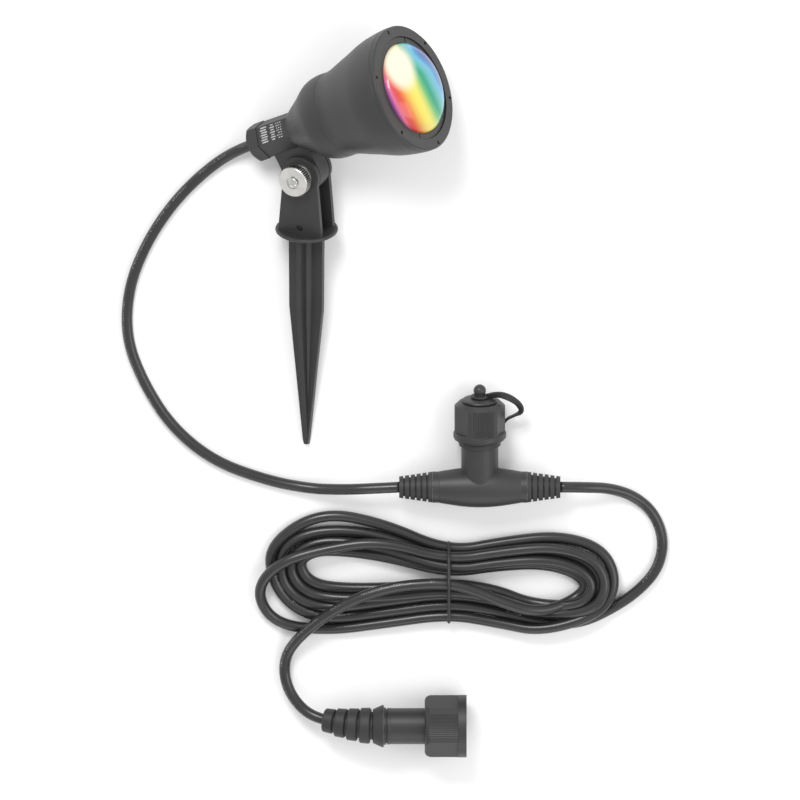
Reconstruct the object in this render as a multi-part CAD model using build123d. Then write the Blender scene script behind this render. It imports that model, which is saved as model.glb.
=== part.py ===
from build123d import *
import math
import os

# Colour-changing garden spotlight on a ground stake, laid out on a table with its cord.
# Millimetres. +Z is the table's normal and +Y runs along the stake, from its tip to the lamp head.
# The origin is the middle of the lamp's own footprint: head, yoke and stake, without the cord.

# ---------------------------------------------------------------- driving dimensions
# The lamp's pose on the table
PIVOT = Vector(-24.97, 41.12, 25.33)  # the middle of the tilt axis
STAKE_RISE = 7.2  # degrees that the stake slopes up from its tip
ROLL = 25.7  # degrees that the lamp has rolled about its stake
ELEVATION = 28.7  # degrees from the head's axis to the plane square to the stake

# Head: s is measured backwards along the head's axis from the bezel's front face
FRONT = 98.6  # from the point over the pivot to s = 0
AXIS_OFFSET = 27.0  # from the pivot to the head's axis
BEZEL_R = 40.3
BEZEL_END = 3.5
WINDOW_R = 33.2  # the bezel's opening
PIT_TURN = -3.0  # degrees, the first of the bezel's six pits
SLOT_TURN = -31.0  # degrees, the retainer's two slots
LENS_R = 29.0  # the lens that shows
LENS_RIM = 1.4  # s of the dome's rim
LENS_CROWN = 12.0  # the dome's rise above its rim
BELL_END = 57.0  # the seam between the bell and the rear housing
NECK_START = 91.0
NECK_END = 115.0
GLAND_END = 123.5
NECK_CORNER_R = 11.8
GLAND_CORNER_R = 12.3

# Pivot and yoke: distances along the tilt axis are from the middle plane
EAR_INNER = 7.0
EAR_OUTER = 10.0
EAR_HEAD_R = 12.6
LUG_R = 12.5
LUG_HALF = 6.2
BOLT_R = 3.0
RUNNING = 0.05  # radial clearance where a piece turns
NUT_R = 10.0
NUT_NEAR = 14.0
NUT_FAR = 20.0
KNURL_TEETH = 44
SLOT_FLOOR = -38.6  # the bottom of the gap between the ears, below the pivot
SOCKET_R = 8.6  # the boss between the ears that holds the stake's spigot
SOCKET_TOP = -30.4
FLANGE_R = 19.5
FLANGE_TOP = -38.6
FLANGE_BOTTOM = -41.5

# Stake
RIB_HALF = 1.6
RIB_TOP_R = 11.6
RIB_KINK_R = 11.2
RIB_KINK = -93.6
TIP_R = 1.1
TIP = -186.0
SPIGOT_R = 7.0
SPIGOT_TOP = -31.7
LOCK_HEIGHT = -35.4  # the screw that locks the stake into the yoke

# Cable
CABLE_D = 6.8
CABLE_R = CABLE_D / 2
FLOOR = 3.45  # the height of a cable's middle where it lies on the table

# Inline tee
TEE = Vector(82.35, -167.4, 16.45)  # high enough for the cap's flange to lie on the table
TEE_HALF = 50.0
BULGE_R = 12.6
BULGE_HALF = 24.8
COLLAR_R = 9.7
COLLAR_END = 29.4
BRANCH_R = 11.5
BRANCH_NECK = 31.0
OUTLET_R = 12.2
OUTLET_MOUTH = 46.4
OUTLET_BORE = 9.2
CAP_START = 31.5
CAP_END = 55.5
CAP_R = 15.7
CAP_FLANGE_R = 16.4
CAP_FLANGE_END = 36.0
CAP_HOLE = 8.85

# Plug on the far end
PLUG = Vector(22.8, -321.7, 19.6)  # where the boot meets the plug's body
PLUG_BODY_R = 11.2
NUT_START = 25.4  # coupling nut, from the boot
NUT_LENGTH = 26.0
COUPLING_R = 19.4
COUPLING_BORE = 15.6  # the threaded mouth
MOUTH_FLOOR = 37.2  # where the threaded mouth ends, from the boot
RELIEF_BORE = 15.1  # the plain bore behind it, which clears the plug's flange
COUPLING_BAND = 5.2
BOOT_LENGTH = 38.5
BOOT_BEND = 20.0  # degrees that the boot droops towards the table
BOOT_LEAN = 22.0  # degrees from straight down to the side that it droops to

# Cord routes: corners of the runs, chosen by hand
LEAD_ROUTE = [
    (-57.04, 54.26, 11.43), (-70.1, 47.2, 4.2), (-89, 33, FLOOR), (-108, 13, FLOOR),
    (-124.5, -13, FLOOR), (-135.5, -42, FLOOR), (-137, -74, FLOOR), (-126.5, -103, FLOOR),
    (-109, -132, FLOOR), (-83, -154.5, FLOOR), (-50, -167, FLOOR), (-24, -172, 4.6),
    (-4, -170.9, 10.6), (13, -168.8, 15.4), (32.35, -167.4, 16.45),
]
FEED_ROUTE = [
    (132.35, -167.4, 16.45), (149, -167.9, 15.2), (164, -170.7, 8.6), (179, -177.6, FLOOR),
    (191, -189, FLOOR), (196.7, -207, FLOOR), (192.5, -225.5, FLOOR), (180, -239.5, FLOOR),
    (165, -250, FLOOR),
]
TAIL_ROUTE = [
    (63, -229.4, 18.9), (46, -229.5, 19.1), (26, -232, 19), (6, -239, 18.7),
    (-12, -250.3, 15.6), (-28.4, -265.4, 9.9), (-37.6, -279, 4.9), (-39.2, -293, 4.6),
    (-34.4, -306.4, 7.4), (-22.8, -318.2, 10.8), (-14.2, -319.3, 13.6),
]

# Hank: the outline of its turns seen from above, and its height
HANK_OUTLINE = [
    (-54, -235), (-47, -209), (-17, -187), (20, -193), (63, -208), (98, -205), (133, -199),
    (160, -209), (167, -231), (155, -255), (123, -264), (92, -259), (63, -255), (24, -260),
    (-12, -264), (-44, -254),
]
HANK_BOTTOM = 0.05
HANK_TOP = 15.5
WAIST_X = 63.2
TIE_ROUTE = [(-256.5, 1.1), (-208, 1.1), (-206.4, 9), (-213, 17), (-229.4, 24.2), (-247, 17), (-257.8, 9)]
TIE_WIRE_R = 1.0
TIE_CORNER_R = 2.5

# ---------------------------------------------------------------- frames of the sub-assemblies
rise, roll, lift = (math.radians(a) for a in (STAKE_RISE, ROLL, ELEVATION))
STAKE_DIR = Vector(0, math.cos(rise), math.sin(rise))
SIDE_DIR = Vector(1, 0, 0) * math.cos(roll) + Vector(0, -math.sin(rise), math.cos(rise)) * math.sin(roll)
HEAD_DIR = SIDE_DIR * math.cos(lift) + STAKE_DIR * math.sin(lift)
HEAD_UP = STAKE_DIR * math.cos(lift) - SIDE_DIR * math.sin(lift)
HEAD_FOOT = PIVOT + HEAD_UP * AXIS_OFFSET

# Yoke frame: x is the way the lamp faces, y the tilt axis, z up the stake; the thumb nut is at -y.
YOKE = Plane(origin=PIVOT, x_dir=SIDE_DIR, z_dir=STAKE_DIR).location
# Head frame: x points away from the pivot and z forwards along the lamp's axis.
HEAD = Plane(origin=HEAD_FOOT, x_dir=HEAD_UP, z_dir=HEAD_DIR).location
# Tee frame: x along the cable and z along the branch.
BRANCH = Plane(origin=TEE, x_dir=(1, 0, 0), z_dir=(0, 1, 0)).location
# Frames whose z runs along +X, through the tee and through the plug
TEE_AXIS = Plane(origin=TEE, x_dir=(0, 0, 1), z_dir=(1, 0, 0)).location
PLUG_AXIS = Plane(origin=PLUG, x_dir=(0, 0, 1), z_dir=(1, 0, 0)).location


# ---------------------------------------------------------------- helpers
def spun(*points):
    """A solid of revolution about Z; the points are (radius, height)."""
    return revolve(Plane.XZ * make_face(Polyline(*points, close=True)), Axis.Z)


def ring(inner, outer, low, high):
    return spun((inner, low), (outer, low), (outer, high), (inner, high))


def rod(radius, low, high):
    """A cylinder along Z."""
    return Pos(0, 0, low) * Cylinder(radius, high - low, align=(Align.CENTER, Align.CENTER, Align.MIN))


def cross_rod(radius, low, high):
    """A cylinder along Y."""
    return Rot(-90, 0, 0) * rod(radius, low, high)


def behind(*points):
    """Head profile points, given as (radius, s), as (radius, height in the head frame)."""
    return [(r, FRONT - s) for r, s in points]


def head_ring(inner, outer, front, back):
    return ring(inner, outer, FRONT - back, FRONT - front)


def tube(route, name):
    """A cable along straight runs joined by tangent arcs, each as large as its two runs allow."""
    points = [Vector(*p) for p in route]
    reach = [0.45 * (b - a).length for a, b in zip(points, points[1:])]
    reach[0], reach[-1] = reach[0] * 1.8, reach[-1] * 1.8  # only one arc uses an end run
    radii = []
    for k, (a, b, c) in enumerate(zip(points, points[1:], points[2:])):
        turn = (b - a).get_angle(c - b)
        radii.append(min(reach[k], reach[k + 1]) / math.tan(math.radians(turn / 2)))
    path = FilletPolyline(*points, radius=radii)
    section = Plane(origin=points[0], z_dir=points[1] - points[0]) * Circle(CABLE_R)
    solid = sweep(section, path=path)
    whole = math.pi * CABLE_R**2 * path.length
    print(f"{name}: length {path.length:.1f}, tightest radius {min(radii):.1f},"
          f" volume / (section x length) {solid.volume / whole:.4f}")
    print("   radii", " ".join(f"{r:.0f}" for r in radii))
    return solid


def grip_outline(radius, flat_depth, groove_depth, turn, half_rib):
    """A nut's outline: three flats between three arcs of fine grooves, half_rib degrees each side."""
    points = []
    grooves = 12
    half_flat = math.radians(60 - half_rib)
    half_rib = math.radians(half_rib)
    for k in range(3):
        middle = math.radians(turn + 120 * k)
        for i in range(2 * grooves + 1):
            angle = middle + half_rib * (i / grooves - 1)
            r = radius - (groove_depth if i % 2 else 0)
            points.append((r * math.cos(angle), r * math.sin(angle)))
        flat_middle = middle + math.radians(60)
        chord = radius - flat_depth
        for side in (-0.72, 0.72):
            angle = flat_middle + side * half_flat
            r = chord / math.cos(side * half_flat)
            r = min(r, radius)
            points.append((r * math.cos(angle), r * math.sin(angle)))
    return make_face(Polyline(*points, close=True))


# ---------------------------------------------------------------- stake and yoke
def make_stake():
    def blade():
        side = [(RIB_TOP_R, FLANGE_BOTTOM), (RIB_KINK_R, RIB_KINK), (TIP_R + 0.8, TIP + 3), (TIP_R, TIP)]
        outline = side + [(-x, z) for x, z in reversed(side)]
        face = Plane.XZ * make_face(Polyline(*outline, close=True))
        return extrude(face, RIB_HALF, both=True)

    core = spun((0, FLANGE_BOTTOM), (4.6, FLANGE_BOTTOM), (4.2, RIB_KINK), (1.5, TIP + 3), (0.8, TIP), (0, TIP))
    stake = blade() + Rot(0, 0, 90) * blade() + core
    stake += rod(RIB_TOP_R + 0.2, FLANGE_BOTTOM - 2.4, FLANGE_BOTTOM - 0.1)
    stake += rod(SPIGOT_R, FLANGE_BOTTOM - 1, SPIGOT_TOP)
    stake -= cross_rod(1.3, -SPIGOT_R - 1, -2.5).moved(Pos(0, 0, LOCK_HEIGHT))
    return stake


def make_yoke():
    outline = [(11.6, 0), (11.9, -6), (14.8, -39), (-14.8, -39), (-11.9, -6), (-11.6, 0)]
    ear_face = make_face(Polyline(*outline, close=True)) + Circle(EAR_HEAD_R)
    body = extrude(Plane.XZ * ear_face, EAR_OUTER, both=True)
    gap_height = EAR_HEAD_R + 4 - SLOT_FLOOR
    gap = Box(40, 2 * EAR_INNER, gap_height, align=(Align.CENTER, Align.CENTER, Align.MIN))
    body -= Pos(0, 0, SLOT_FLOOR) * gap
    body += rod(SOCKET_R, SLOT_FLOOR - 0.5, SOCKET_TOP)
    body += spun((0, FLANGE_TOP), (18.3, FLANGE_TOP), (19.2, -39.0), (FLANGE_R, -39.8), (19.3, -40.5),
                 (18.6, -41.1), (12.5, FLANGE_BOTTOM), (0, FLANGE_BOTTOM))
    body -= cross_rod(BOLT_R + 0.15, -12, 12)
    body -= rod(SPIGOT_R + 0.08, FLANGE_BOTTOM - 1, SPIGOT_TOP + 0.1)
    lock = cross_rod(1.35, -16, -5) + cross_rod(2.15, -22, -8.6)
    body -= lock.moved(Pos(0, 0, LOCK_HEIGHT))
    return body


def make_lock_screw():
    screw = cross_rod(1.2, -9, -3) + cross_rod(2.0, -9.3, -8.7)
    return screw.moved(Pos(0, 0, LOCK_HEIGHT))


def make_pivot_bolt():
    head = spun((0, 10.1), (6.2, 10.1), (6.2, 12.6), (5.4, 13.8), (0, 14.4))
    shank = rod(BOLT_R, -19.9, 10.5) + Pos(0, 0, -19.9) * scale(Sphere(BOLT_R), by=(1, 1, 0.35))
    return Rot(-90, 0, 0) * (head + shank)


def make_friction_washers():
    one = Rot(-90, 0, 0) * ring(BOLT_R + 0.1, 9.0, LUG_HALF + 0.1, EAR_INNER - 0.05)
    return Compound(children=[one, mirror(one, about=Plane.XZ)])


def make_flat_washer():
    return Rot(90, 0, 0) * ring(BOLT_R + 0.1, 8.0, EAR_OUTER + 0.05, EAR_OUTER + 1.0)


def make_thumb_nut():
    points = []
    for i in range(2 * KNURL_TEETH):
        r = NUT_R - (0.45 if i % 2 else 0)
        angle = math.pi * i / KNURL_TEETH
        points.append((r * math.cos(angle), r * math.sin(angle)))
    knurled = Pos(0, 0, NUT_NEAR) * extrude(make_face(Polyline(*points, close=True)), NUT_FAR - NUT_NEAR)
    knurled &= spun((0, NUT_NEAR), (9.3, NUT_NEAR), (NUT_R, NUT_NEAR + 0.7), (NUT_R, NUT_FAR - 0.7),
                    (9.3, NUT_FAR), (0, NUT_FAR))
    nut = knurled + ring(BOLT_R + RUNNING, 6.8, EAR_OUTER + 1.1, NUT_NEAR + 0.5)
    nut -= rod(BOLT_R + RUNNING, 8, 24)
    nut -= rod(4.4, NUT_FAR - 1.6, NUT_FAR + 1)
    return Rot(90, 0, 0) * nut


# ---------------------------------------------------------------- lamp head
def make_bezel():
    bezel = spun(*behind((WINDOW_R, 0), (39.5, 0), (BEZEL_R, 0.8), (BEZEL_R, BEZEL_END), (WINDOW_R, BEZEL_END)))
    for k in range(6):
        pit = Pos(37.7, 0, FRONT) * Box(2.4, 1.6, 2.4)
        bezel -= Rot(0, 0, PIT_TURN + 60 * k) * pit
    return bezel


def make_lens_retainer():
    retainer = spun(*behind((LENS_R + 0.1, 1.3), (LENS_R + 0.5, 0.9), (33.1, 0.9), (33.1, 3.4), (31.5, 3.4),
                            (31.5, 3.9), (LENS_R + 0.1, 3.9)))
    for turn in (0, 180):
        retainer -= Rot(0, 0, SLOT_TURN + turn) * (Pos(31, 0, FRONT) * Box(7, 0.9, 4))
    return retainer


def dome_curve(radius, rim_height, rise):
    """Half of an oval dome's section, from its top on the axis to its rim."""
    steps = [math.radians(a) for a in (90, 75, 60, 45, 30, 15, 0)]
    points = [(radius * math.cos(a), rim_height + rise * math.sin(a)) for a in steps]
    return Spline(*points, tangents=[(1, 0), (0, -1)])


def make_front_lens():
    seat, flange_bottom, flange_r, hollow_r = 4.0, 6.0, 31.3, 26.4
    hollow = LENS_CROWN + flange_bottom - LENS_RIM - 2.6
    edge = Polyline(*behind((LENS_R, LENS_RIM), (LENS_R, seat), (flange_r, seat), (flange_r, flange_bottom),
                            (hollow_r, flange_bottom)))
    middle = Line(*behind((0, flange_bottom - hollow), (0, LENS_RIM - LENS_CROWN)))
    outer = dome_curve(LENS_R, FRONT - LENS_RIM, LENS_CROWN)
    inner = dome_curve(hollow_r, FRONT - flange_bottom, hollow)
    return revolve(Plane.XZ * make_face([outer, edge, inner, middle]), Axis.Z)


def make_lens_gasket():
    return head_ring(28.4, 31.2, 6.1, 7.3)


def make_bell():
    outer = Spline(*behind((BEZEL_R, 5), (39.2, 13.6), (37.2, 22.9), (33.6, 33.3), (30.6, 42.6),
                           (27.6, 52), (26.9, BELL_END)))
    inner = Spline(*behind((24.62, 54.8), (28.2, 42.6), (31.2, 33.3), (34.6, 22.9), (35, 15)))
    lip = Polyline(*behind((35, 15), (27.8, 10), (27.8, 7.4), (31.6, 7.4), (31.6, BEZEL_END + 0.1),
                           (BEZEL_R - 0.3, BEZEL_END + 0.1), (BEZEL_R, BEZEL_END + 0.4), (BEZEL_R, 5)))
    foot = Polyline(*behind((26.9, BELL_END), (24.62, BELL_END), (24.62, 54.8)))
    return revolve(Plane.XZ * make_face([outer, foot, inner, lip]), Axis.Z)


def make_reflector():
    return spun(*behind((25.6, 10.2), (27.2, 10.2), (20, 28), (11.4, 43.4), (9.8, 43.4), (18.4, 28)))


BOARD_SCREWS = [(16 * math.cos(math.radians(a)), 16 * math.sin(math.radians(a))) for a in (30, 150, 270)]


def make_led_board():
    board = head_ring(0, 22, 45, 46.6)
    for x, y in BOARD_SCREWS:
        board -= Pos(x, y, 0) * rod(1.4, 40, 60)
    return board


def make_led_chips():
    chips = []
    for x in (-3, 3):
        for y in (-3, 3):
            base = Pos(x, y, FRONT - 44.5) * Box(4, 4, 0.9)
            dome = Pos(x, y, FRONT - 44.1) * scale(Sphere(1.5), by=(1, 1, 0.6))
            chips.append(base + dome)
    return Compound(children=chips)


def make_board_screws():
    screws = []
    for x, y in BOARD_SCREWS:
        screw = rod(1.25, FRONT - 49.6, FRONT - 44.5) + rod(2.3, FRONT - 44.9, FRONT - 43.4)
        screws.append(Pos(x, y, 0) * screw)
    return Compound(children=screws)


def make_heat_sink():
    sink = head_ring(0, 24, 46.7, 50)
    fins = None
    for k in range(-3, 4):
        fin = Pos(0, 6 * k, FRONT - 55.4) * Box(44, 1.4, 11)
        fins = fin if fins is None else fins + fin
    sink += fins & head_ring(0, 21.8, 49.5, 61)
    for x, y in BOARD_SCREWS:
        sink -= Pos(x, y, 0) * rod(1.3, FRONT - 49.8, FRONT - 46)
    return sink


def make_housing_seal():
    return Pos(0, 0, FRONT - 54) * Torus(23.82, 0.7)


def hexagon(corner_r):
    """A hexagon with two flats square to the frame's x axis."""
    return RegularPolygon(corner_r, 6, rotation=30)


def make_rear_housing():
    outer = Spline(*behind((26.9, BELL_END + 0.12), (26.8, 64.4), (25.2, 70.4), (19.8, 78.7), (15.2, 86),
                           (11.2, NECK_START + 1)))
    rim = Polyline(*behind((0, NECK_START + 1), (0, 52), (24.45, 52), (24.45, 53.2), (23.05, 53.2),
                           (23.05, 54.8), (24.45, 54.8), (24.45, BELL_END + 0.12), (26.9, BELL_END + 0.12)))
    end = Line(*behind((11.2, NECK_START + 1), (0, NECK_START + 1)))
    body = revolve(Plane.XZ * make_face([rim, outer, end]), Axis.Z)
    neck = extrude(hexagon(NECK_CORNER_R), NECK_END - NECK_START + 4)
    body += Pos(0, 0, FRONT - NECK_END) * neck
    body -= spun(*behind((0, 51), (22.3, 51), (22.3, 66), (17, 77), (12.4, 84.5), (7.5, 90), (7.5, 97),
                         (6, 98.5), (6, NECK_END + 1), (0, NECK_END + 1)))
    return body


def make_pivot_lug():
    """The lug between the yoke's ears, up to the rear housing's skin."""
    web = Box(AXIS_OFFSET - 8, 2 * LUG_HALF, 2 * LUG_R, align=(Align.MIN, Align.CENTER, Align.CENTER))
    lug = Pos(-AXIS_OFFSET, 0, 0) * (web + cross_rod(LUG_R, -LUG_HALF, LUG_HALF))
    lug -= Pos(-AXIS_OFFSET, 0, 0) * cross_rod(BOLT_R + RUNNING, -10, 10)
    core = spun(*behind((0, 50), (20, 50), (20, 77), (12, 86), (9, 92), (9, NECK_END), (0, NECK_END)))
    lug -= core
    return lug - make_rear_housing()


def make_driver_board():
    return Pos(0, 0, FRONT - 71.3) * Box(27, 1.6, 17.5)


def make_driver_parts():
    side = 0.85
    can = Pos(-6, -side - 4.1, 0) * rod(4, FRONT - 76, FRONT - 65)
    chip = Pos(6, -side - 1, FRONT - 70) * Box(7, 2, 6)
    coil = Pos(1, side + 2.6, FRONT - 69) * Box(10, 5, 8)
    return Compound(children=[can, chip, coil])


def make_gland_nut():
    body = Pos(0, 0, FRONT - GLAND_END) * extrude(hexagon(GLAND_CORNER_R), GLAND_END - NECK_END - 0.15)
    body &= spun(*behind((0, GLAND_END), (10.4, GLAND_END), (GLAND_CORNER_R + 0.1, GLAND_END - 1.7),
                         (GLAND_CORNER_R + 0.1, NECK_END), (0, NECK_END)))
    return body - rod(6.05, FRONT - GLAND_END - 1, FRONT - NECK_END + 1)


def make_gland_grommet():
    return spun(*behind((CABLE_R + 0.1, 99), (5.9, 99), (5.9, GLAND_END), (5.2, GLAND_END + 0.8),
                        (CABLE_R + 0.1, GLAND_END + 0.8)))


def make_cord_entry():
    return rod(CABLE_R, FRONT - GLAND_END - 0.8, FRONT - 98)


def make_core_wires():
    wires = []
    for x in (-1.5, 1.5):
        for y in (-1.4, 1.4):
            wires.append(Pos(x, y, 0) * rod(0.75, FRONT - 97.9, FRONT - 80.2))
    return Compound(children=wires)


# ---------------------------------------------------------------- inline tee and its dust cap
def make_tee_body():
    half = [(BULGE_R, 0), (12.1, 10), (11, 18), (9.9, BULGE_HALF)]
    curve = Spline(*[(r, -z) for r, z in reversed(half)], *half[1:])
    sides = Polyline((9.9, BULGE_HALF), (COLLAR_R, BULGE_HALF + 0.6), (COLLAR_R, COLLAR_END), (0, COLLAR_END),
                     (0, -COLLAR_END), (COLLAR_R, -COLLAR_END), (COLLAR_R, -BULGE_HALF - 0.6), (9.9, -BULGE_HALF))
    bulge = revolve(Plane.XZ * make_face([curve, sides]), Axis.Z)
    body = Rot(0, 90, 0) * bulge
    body += rod(BRANCH_R, 0, BRANCH_NECK) + rod(OUTLET_R, BRANCH_NECK - 0.1, OUTLET_MOUTH)
    return body - rod(OUTLET_BORE, 18, OUTLET_MOUTH + 1)


def make_tee_boot():
    """One ribbed boot, with its cable end at z = TEE_HALF."""
    ribs = 6
    slot = 1.0
    pitch = (TEE_HALF - COLLAR_END - 0.1 + slot) / ribs
    profile = [(0, COLLAR_END + 0.05)]
    for k in range(ribs):
        low = COLLAR_END + 0.05 + k * pitch
        high = low + pitch - slot
        top_r = 9.6 - 3.1 * k / ribs
        end_r = 9.6 - 3.1 * (k + 0.75) / ribs
        profile += [(top_r, low), (end_r, high)]
        if k < ribs - 1:
            profile += [(end_r - 1.5, high), (end_r - 1.5, low + pitch)]
    profile += [(0, profile[-1][1])]
    return spun(*profile)


def make_outlet_insert():
    insert = rod(9.1, 20, 44.4)
    for x in (-4, 4):
        insert -= Pos(x, 0, 0) * rod(1.6, 21, 45)
    return insert


def make_outlet_pins():
    return Compound(children=[Pos(x, 0, 0) * rod(1.5, 22, 44) for x in (-4, 4)])


def make_outlet_seal():
    return ring(9.4, 11.6, OUTLET_MOUTH + 0.1, 47.4)


def make_cap_nut():
    grip = Pos(0, 0, CAP_START) * extrude(grip_outline(CAP_R, 0.9, 0.45, -82, 26), CAP_END - CAP_START)
    grip &= spun((0, CAP_START), (CAP_R, CAP_START), (CAP_R, CAP_END - 2.6), (12.9, CAP_END), (0, CAP_END))
    nut = grip + spun((0, CAP_START), (15.2, CAP_START), (CAP_FLANGE_R, CAP_START + 1.4),
                      (CAP_FLANGE_R, CAP_FLANGE_END - 0.5), (15.4, CAP_FLANGE_END + 0.4), (0, CAP_FLANGE_END + 0.4))
    nut -= rod(OUTLET_R + 0.1, CAP_START - 1, 49.8)
    return nut - rod(CAP_HOLE, 49, CAP_END + 1)


def make_cap_stopper():
    body = spun((0, 47.6), (11.8, 47.6), (11.8, 49.7), (CAP_HOLE - RUNNING, 49.7), (CAP_HOLE - RUNNING, 55.6),
                (10.4, 55.6), (11, 56.3), (10.4, 57.2), (6.5, 57.9), (3.2, 58.1), (3.2, 60.6), (0, 60.6))
    return body + Pos(0, 0, 62.7) * Sphere(3.9)


def make_cap_tether():
    route = [(4.6, -0.2, 59), (11, -1.5, 61.2), (18.8, -1.5, 58.6), (24.8, -0.5, 53.8), (25.8, 2, 48.6),
             (21.8, 5, 45.2), (16.4, 9, 41.4), (14, 11.2, 36), (14, 11.2, 30.4), (9.7, 7.6, 29.2)]
    points = [Vector(*p) for p in route]
    path = FilletPolyline(*points, radius=2.2)
    strap = sweep(Plane(origin=points[0], z_dir=points[1] - points[0]) * Circle(1.1), path=path)
    finial_ring = ring(3.3, 5.6, 58.2, 59.7)
    branch_ring = ring(BRANCH_R + 0.05, 12.9, 27.6, 30.7)
    return strap + finial_ring + branch_ring - rod(BRANCH_R + 0.05, 20, 31) - rod(3.3, 56, 61)


# ---------------------------------------------------------------- plug
def boot_place(length):
    """The place and direction on the boot's curved axis, that far from the plug's body."""
    bend = math.radians(BOOT_BEND)
    radius = BOOT_LENGTH / bend
    angle = length / radius
    lean = math.radians(BOOT_LEAN)
    droop = Vector(0, math.sin(lean), -math.cos(lean))
    place = PLUG + Vector(-radius * math.sin(angle), 0, 0) + droop * (radius * (1 - math.cos(angle)))
    direction = Vector(-math.cos(angle), 0, 0) + droop * math.sin(angle)
    return Plane(origin=place, z_dir=direction).location


def make_plug_boot():
    boot = boot_place(0) * spun((0, 0), (13.1, 0), (13.1, 0.9), (10.6, 6.6), (8.4, 7), (8.4, 9), (0, 9))
    ribs = [(8.2, 11.2), (15.9, 10.2), (23.4, 9.1), (31.0, 7.7)]  # (distance, radius)
    rib_length = 6.6
    for start, radius in ribs:
        edge = 0.7
        rib = spun((0, 0), (radius - edge, 0), (radius, edge), (radius - 0.3, rib_length - edge),
                   (radius - 1.1, rib_length), (0, rib_length))
        boot += boot_place(start) * rib
    for start, radius in [(5, 8.6), (12, 8), (19.5, 7), (27, 6)]:
        boot += boot_place(start) * rod(radius, 0, 7.5)
    return boot


def make_plug_body():
    return spun((0, 0.05), (11.6, 0.05), (11.6, 1.3), (10.7, 1.5), (10.7, 2.1), (11.4, 2.3), (11.4, 3.6),
                (PLUG_BODY_R, 4), (PLUG_BODY_R, 28.2), (14.2, 28.2), (14.2, 31), (9.8, 31), (9.8, 27), (0, 27))


def make_plug_insert():
    insert = rod(9.7, 27.1, 35.6)
    for x in (-4, 4):
        insert -= Pos(x, 0, 0) * rod(1.7, 27, 36)
    return insert


def make_plug_contacts():
    sleeve = ring(1.0, 1.6, 27.3, 35.4)
    return Compound(children=[Pos(x, 0, 0) * sleeve for x in (-4, 4)])


def make_plug_seal():
    return ring(9.9, 13.6, 31.1, 33)


def make_coupling_nut():
    end = NUT_START + NUT_LENGTH
    grip = Pos(0, 0, NUT_START) * extrude(grip_outline(COUPLING_R - 0.15, 0.8, 0.4, -18, 23), NUT_LENGTH)
    grip &= spun((0, NUT_START), (16.4, NUT_START), (18.2, NUT_START + 0.9), (COUPLING_R, NUT_START + 3.6),
                 (COUPLING_R, end), (0, end))
    band = ring(COUPLING_BORE, COUPLING_R, end - COUPLING_BAND, end)
    nut = grip + band
    nut -= rod(PLUG_BODY_R + 0.08, NUT_START - 1, 29)
    nut -= rod(RELIEF_BORE, NUT_START + 2.7, MOUTH_FLOOR + 0.1)
    return nut - rod(COUPLING_BORE, MOUTH_FLOOR, end + 1)


# ---------------------------------------------------------------- hank
def make_hank():
    outline = make_face(Spline(*HANK_OUTLINE, periodic=True))
    return Pos(0, 0, HANK_BOTTOM) * extrude(outline, HANK_TOP - HANK_BOTTOM)


def make_hank_tie():
    points = [(WAIST_X, y, z) for y, z in TIE_ROUTE]
    path = FilletPolyline(*points, radius=TIE_CORNER_R, close=True)
    start = path @ 0.02
    return sweep(Plane(origin=start, z_dir=path % 0.02) * Circle(TIE_WIRE_R), path=path)


# ---------------------------------------------------------------- assembly
NODES = {
    "stake": YOKE * make_stake(),
    "yoke": YOKE * make_yoke(),
    "stake_lock_screw": YOKE * make_lock_screw(),
    "pivot_bolt": YOKE * make_pivot_bolt(),
    "friction_washers": YOKE * make_friction_washers(),
    "flat_washer": YOKE * make_flat_washer(),
    "thumb_nut": YOKE * make_thumb_nut(),
    "bezel_ring": HEAD * make_bezel(),
    "lens_retainer": HEAD * make_lens_retainer(),
    "front_lens": HEAD * make_front_lens(),
    "lens_gasket": HEAD * make_lens_gasket(),
    "bell_housing": HEAD * make_bell(),
    "reflector": HEAD * make_reflector(),
    "led_board": HEAD * make_led_board(),
    "led_chips": HEAD * make_led_chips(),
    "board_screws": HEAD * make_board_screws(),
    "heat_sink": HEAD * make_heat_sink(),
    "housing_seal": HEAD * make_housing_seal(),
    "rear_housing": HEAD * make_rear_housing(),
    "pivot_lug": HEAD * make_pivot_lug(),
    "driver_board": HEAD * make_driver_board(),
    "driver_parts": HEAD * make_driver_parts(),
    "gland_nut": HEAD * make_gland_nut(),
    "gland_grommet": HEAD * make_gland_grommet(),
    "cord_entry": HEAD * make_cord_entry(),
    "core_wires": HEAD * make_core_wires(),
    "cord_lead": tube(LEAD_ROUTE, "cord_lead"),
    "tee_body": BRANCH * make_tee_body(),
    "tee_boot_out": TEE_AXIS * make_tee_boot(),
    "tee_boot_in": TEE_AXIS * (Rot(180, 0, 0) * make_tee_boot()),
    "outlet_insert": BRANCH * make_outlet_insert(),
    "outlet_pins": BRANCH * make_outlet_pins(),
    "outlet_seal": BRANCH * make_outlet_seal(),
    "cap_nut": BRANCH * make_cap_nut(),
    "cap_stopper": BRANCH * make_cap_stopper(),
    "cap_tether": BRANCH * make_cap_tether(),
    "cord_feed": tube(FEED_ROUTE, "cord_feed"),
    "cord_hank": make_hank(),
    "hank_tie": make_hank_tie(),
    "cord_tail": tube(TAIL_ROUTE, "cord_tail"),
    "plug_boot": make_plug_boot(),
    "plug_body": PLUG_AXIS * make_plug_body(),
    "plug_insert": PLUG_AXIS * make_plug_insert(),
    "plug_contacts": PLUG_AXIS * make_plug_contacts(),
    "plug_seal": PLUG_AXIS * make_plug_seal(),
    "coupling_nut": PLUG_AXIS * make_coupling_nut(),
}

os.makedirs("parts", exist_ok=True)
for name, solid in NODES.items():
    export_step(solid, f"parts/{name}.step")

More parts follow.
